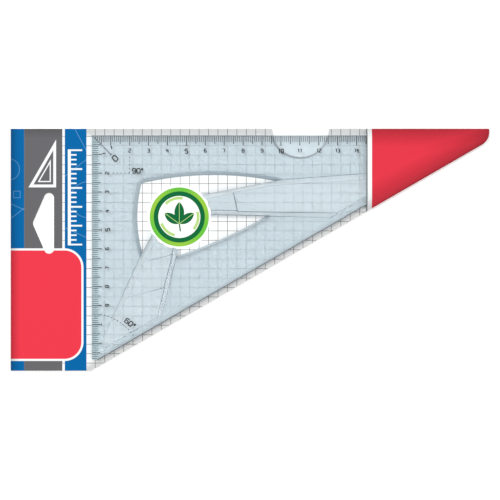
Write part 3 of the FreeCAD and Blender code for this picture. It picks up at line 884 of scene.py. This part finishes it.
def scale_figures(node, count, degrees, settings):
    """Numbers of the long scale, or of the short one if turned. A lone 1 stands right of its tick."""
    meshes = []
    for number in range(1, count + 1):
        height, stroke, row = figure_sizes(number, settings)
        along = CENTIMETRE * number
        centre = place(row, -along) if degrees else place(along, -row)
        text = "l" if number == 1 else str(number)
        share = SINGLE_FIGURE if number < 10 else PAIRED_FIGURE
        meshes += write_figures(node, text, centre, height, degrees, stroke, settings.film, share)
    return meshes


# Crease beads of painted shade

SHARP_BEND = 20             # degrees between the faces of an edge that gets a bead
BEVEL_BEND = (40, 46)       # and between those at a bevel's foot, which gets none
SAME_POINT = 1e-6
HOLLOW_TONE = 0.78          # painted shade of the beads: in hollows, on ridges, and how far the key light pales one
RIDGE_TONE = 0.58
LIT_SHARE = 0.32
UPRIGHT_WALL = 0.8          # painted shade next to upright walls, and at the left and right ends of level ones
LEVEL_WALL = (0.12, 0.62)
UNDER_ARM = 1.8             # painted shadow along the right arm's lower edge, where a wide bead is fully dark
DOWNWARD = -0.985           # a wall faces straight down the picture below this


def sharp_edges(node, lowest):
    """Sharp edges above a height: ends, both face normals, and each face's direction from its edge."""
    points, corners = triangles(node)
    _, first, same = np.unique(
        np.round(points / SAME_POINT), axis=0, return_index=True, return_inverse=True)
    points = points[first]
    corners = same.reshape(-1)[corners]
    turns = np.concatenate([corners, np.roll(corners, -1, 1), np.roll(corners, -2, 1)])
    ends = np.sort(turns[:, :2], axis=1)
    a, b, c = points[turns].transpose(1, 0, 2)
    normals = unit(np.cross(b - a, c - a))
    along = unit(points[ends[:, 1]] - points[ends[:, 0]])
    away = c - a
    away = unit(away - (away * along).sum(1, keepdims=True) * along)
    order = np.lexsort((ends[:, 1], ends[:, 0]))
    pair = np.flatnonzero((ends[order[1:]] == ends[order[:-1]]).all(1))
    one, two = order[pair], order[pair + 1]
    start, end = points[ends[one]].transpose(1, 0, 2)
    bend = np.degrees(np.arccos(np.clip((normals[one] * normals[two]).sum(1), -1, 1)))
    bevel_foot = (bend > BEVEL_BEND[0]) & (bend < BEVEL_BEND[1])
    keep = (bend > SHARP_BEND) & ~bevel_foot & (np.minimum(start[:, 2], end[:, 2]) > lowest)
    return tuple(part[keep] for part in (start, end, normals[one], normals[two], away[one], away[two]))


def unit(vectors):
    return vectors / np.maximum(np.linalg.norm(vectors, axis=1, keepdims=True), 1e-12)


def crease_tones(here, there, up_one, up_two, out_one, out_two):
    """Painted shade at one end: dark in hollows, away from the key light, and as painted shadow under
    the right arm, and faint next to the hypotenuse and near the short edge."""
    hollow = (up_one * out_two).sum(1) > 0
    up = unit(up_one + up_two)
    lit = unit(up[:, :2]) @ KEY_SIDE
    wall = np.minimum(np.abs(up_one[:, 2]), np.abs(up_two[:, 2])) < 0.3
    wall_side = np.where(np.abs(up_one[:, 2:]) < np.abs(up_two[:, 2:]), up_one, up_two)
    level_wall = np.where(here[:, 0] < there[:, 0], *LEVEL_WALL)
    level_wall = np.where(wall_side[:, 1] < DOWNWARD, UNDER_ARM, level_wall)
    upright = np.abs(up[:, 0]) > np.abs(up[:, 1])
    tone = np.where(hollow, HOLLOW_TONE, RIDGE_TONE - LIT_SHARE * lit)
    tone = np.where(wall, np.where(upright, UPRIGHT_WALL, level_wall), tone)
    slim = math.radians(SLIM_ANGLE)
    ahead, aside = (here[:, 0] - ZERO_X) / MM, (here[:, 1] - ZERO_Y) / MM - SLOPE_FOOT
    inward = aside * math.cos(slim) - ahead * math.sin(slim)
    return tone * np.clip((inward - 3) / 3, 0.25, 1) * np.clip((ahead - 8) / 3, 0.1, 1)


def crease_beads(node, width, rise):
    """Four-sided beads of painted shade along sharp edges: a corner out on each face, one above and one
    below the edge.
    A bead is wider where its painted shade is darker."""
    start, end, up_one, up_two, out_one, out_two = sharp_edges(node, (PLATE_TOP - 0.01) * MM)
    faces = (up_one, up_two, out_one, out_two)
    shade_tones = np.stack([crease_tones(start, end, *faces), crease_tones(end, start, *faces)], 1)
    width = width * (0.5 + 0.9 * shade_tones.mean(1, keepdims=True))
    above = unit(up_one + up_two) * rise
    clockwise = (np.cross(out_one, above) * (end - start)).sum(1, keepdims=True) < 0
    left, right = np.where(clockwise, out_two, out_one), np.where(clockwise, out_one, out_two)
    section = np.stack([left * width, above, right * width, -above], 1)
    points = np.stack([start[:, None] + section, end[:, None] + section], 1).reshape(-1, 3)
    side = np.arange(4)
    ring = np.stack([side, (side + 1) % 4, (side + 1) % 4 + 4, side + 4], 1)
    box = np.concatenate([ring, [[3, 2, 1, 0], [4, 5, 6, 7]]])
    faces = (np.arange(len(start))[:, None, None] * 8 + box).reshape(-1, 4)
    return points, faces, np.repeat(shade_tones.reshape(-1), 4)


# Operators

def dress(node, material):
    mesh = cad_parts[node].data
    mesh.materials.clear()
    mesh.materials.append(material)


class DressPlastic(bpy.types.Operator):
    """Gives the moulding its clear plastic"""
    bl_idname = "set_square.plastic"
    bl_label = "Clear plastic"

    def execute(self, context):
        dress("set_square", clear_plastic(context.scene.set_square_plastic))
        return {"FINISHED"}


class AddCreases(bpy.types.Operator):
    """Lays beads of painted shade along the grip's creases"""
    bl_idname = "set_square.creases"
    bl_label = "Creases"

    def execute(self, context):
        settings = context.scene.set_square_plastic
        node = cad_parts["set_square"]
        points, faces, shade_tones = crease_beads(node, settings.crease_width, settings.crease_rise)
        piece = joined_piece("grip_crease_shade", [(points, faces)], crease_plastic(settings))
        # the beads' painted shade goes in as their tone
        piece.data.attributes.new("tone", "FLOAT", "POINT").data.foreach_set("value", shade_tones)
        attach(piece, "set_square")
        return {"FINISHED"}


class DressScales(bpy.types.Operator):
    """Gives the ticks, the pointer and the dashed marks their ink"""
    bl_idname = "set_square.scales"
    bl_label = "Scale ink"

    def execute(self, context):
        ink = printing_ink("scale_ink", context.scene.set_square_ink.colour)
        for node in ("long_scale", "short_scale", "zero_pointer", "right_angle_marks", "angle_arc"):
            dress(node, ink)
        return {"FINISHED"}


class AddFigures(bpy.types.Operator):
    """Prints the figures of both scales, the zero and the two angles"""
    bl_idname = "set_square.figures"
    bl_label = "Figures"

    def execute(self, context):
        settings = context.scene.set_square_ink
        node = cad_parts["set_square"]
        ink = printing_ink("figure_ink", settings.colour)
        pieces = {
            "long_scale_figures": scale_figures(node, settings.top_figures, 0, settings),
            "short_scale_figures": scale_figures(node, settings.side_figures, 90, settings)}
        for name, text, centre, height, degrees in MARKS:
            pieces[name] = write_figures(node, text, place(*centre), height * MM, degrees,
                                         settings.bold_stroke, settings.film)
        for name, meshes in pieces.items():
            piece = joined_piece(name, meshes, ink)
            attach(piece, "set_square")
        return {"FINISHED"}


class DressCard(bpy.types.Operator):
    """Prints the hang card's header and ruled panel, with painted shade along their edges and fold and
    a painted shadow line round the notch
    """
    bl_idname = "set_square.card"
    bl_label = "Card print"

    def execute(self, context):
        settings = context.scene.set_square_card
        printed = card_finish("card_print_and_shade", settings, panel_colour(settings), front_print)
        for node in ("backing_card", "header_back_flap"):
            dress(node, printed)
        dress("header_glue", dry_glue("header_glue"))
        return {"FINISHED"}


class DressTail(bpy.types.Operator):
    """Prints the tail's pocket and its glue flap, with painted shade, a painted highlight and a painted
    shadow line on the red
    """
    bl_idname = "set_square.tail"
    bl_label = "Tail print"

    def execute(self, context):
        settings = context.scene.set_square_card
        red = tail_colour(settings)
        dress("tail_pocket", card_finish("tail_print", settings, red, tail_print))
        dress("tail_glue_flap", card_finish("flap_print", settings, red, flap_print))
        dress("tail_glue", dry_glue("tail_glue"))
        return {"FINISHED"}


class DressLabel(bpy.types.Operator):
    """Prints the round label, which throws no shadow, as in the photograph"""
    bl_idname = "set_square.label"
    bl_label = "Label"

    def execute(self, context):
        dress("sticker", label_paper(context.scene.set_square_label))
        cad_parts["sticker"].visible_shadow = False
        return {"FINISHED"}


FLOOR_HALF = 3.0            # half the floor's side, and how far it lies below the card, in metres
FLOOR_DROP = 0.00005
FLOOR_GLOW = 0.12
FILL_SHARE = 0.7            # the fill light's power as a share of the key light's
SENSOR = 36                 # width of the camera's sensor, in its own millimetres


class SetStage(bpy.types.Operator):
    """Adds the floor, the soft lights and the camera straight above"""
    bl_idname = "set_square.stage"
    bl_label = "Studio"

    def execute(self, context):
        settings = context.scene.set_square_stage
        scene = context.scene
        scene.view_settings.view_transform = "Standard"
        floor = bpy.data.objects.new("floor", floor_mesh(settings))
        floor.location.z = -FLOOR_DROP
        scene.collection.objects.link(floor)
        add_light("key", settings.key_power, 0.9, Vector(KEY_PLACE))
        add_light("fill", settings.key_power * FILL_SHARE, 1.2, Vector(FILL_PLACE))
        world = bpy.data.worlds.new("surround")
        world.use_nodes = True
        background = world.node_tree.nodes["Background"]
        background.inputs["Strength"].default_value = settings.surround
        background.inputs["Color"].default_value = (*WHITE, 1)
        scene.world = world
        lens = bpy.data.cameras.new("camera")
        lens.sensor_width = SENSOR
        lens.lens = lens.sensor_width * settings.distance / settings.view_width
        camera = bpy.data.objects.new("camera", lens)
        camera.location = (0, -settings.aim, PLATE_TOP * MM + settings.distance)
        scene.collection.objects.link(camera)
        scene.camera = camera
        return {"FINISHED"}


def floor_mesh(settings):
    """A plain square floor with a faint grain and a faint glow."""
    half = FLOOR_HALF
    mesh = bpy.data.meshes.new("floor")
    corners = [(-half, -half, 0), (half, -half, 0), (half, half, 0), (-half, half, 0)]
    mesh.from_pydata(corners, [], [(0, 1, 2, 3)])
    finish = Finish("floor")
    grain = finish.noise(6, 2)
    tone = finish.over(settings.floor, tuple(0.98 * c for c in settings.floor), grain)
    mesh.materials.append(finish.output(finish.surface({
        "Base Color": tone, "Roughness": 0.9,
        "Emission Color": WHITE, "Emission Strength": FLOOR_GLOW})))
    return mesh


def add_light(name, power, size, place_at):
    """A square soft light that looks at the middle of the part."""
    data = bpy.data.lights.new(name, "AREA")
    data.energy = power
    data.size = size
    light = bpy.data.objects.new(name, data)
    light.location = place_at
    light.rotation_euler = (-place_at).to_track_quat("-Z", "Y").to_euler()
    bpy.context.scene.collection.objects.link(light)


OPERATORS = (
    DressPlastic, AddCreases, DressScales, AddFigures, DressCard, DressTail, DressLabel, SetStage)


class SetSquarePanel(bpy.types.Panel):
    """Lists the sizes, the colours and the steps"""
    bl_idname = "VIEW3D_PT_set_square"
    bl_label = "Set Square"
    bl_space_type = "VIEW_3D"
    bl_region_type = "UI"
    bl_category = "Set Square"

    def draw(self, context):
        for group in GROUPS:
            box = self.layout.box()
            settings = getattr(context.scene, group)
            for name in settings.__annotations__:
                box.prop(settings, name)
        for operator in OPERATORS:
            self.layout.operator(operator.bl_idname)


CLASSES = (*GROUPS.values(), *OPERATORS, SetSquarePanel)


def register():
    for kind in CLASSES:
        bpy.utils.register_class(kind)
    for name, group in GROUPS.items():
        setattr(bpy.types.Scene, name, PointerProperty(type=group))


def unregister():
    for name in GROUPS:
        delattr(bpy.types.Scene, name)
    for kind in reversed(CLASSES):
        bpy.utils.unregister_class(kind)


def main():
    register()
    bpy.ops.set_square.plastic()
    bpy.ops.set_square.creases()
    bpy.ops.set_square.scales()
    bpy.ops.set_square.figures()
    bpy.ops.set_square.card()
    bpy.ops.set_square.tail()
    bpy.ops.set_square.label()
    bpy.ops.set_square.stage()


if __name__ == "__main__":
    main()
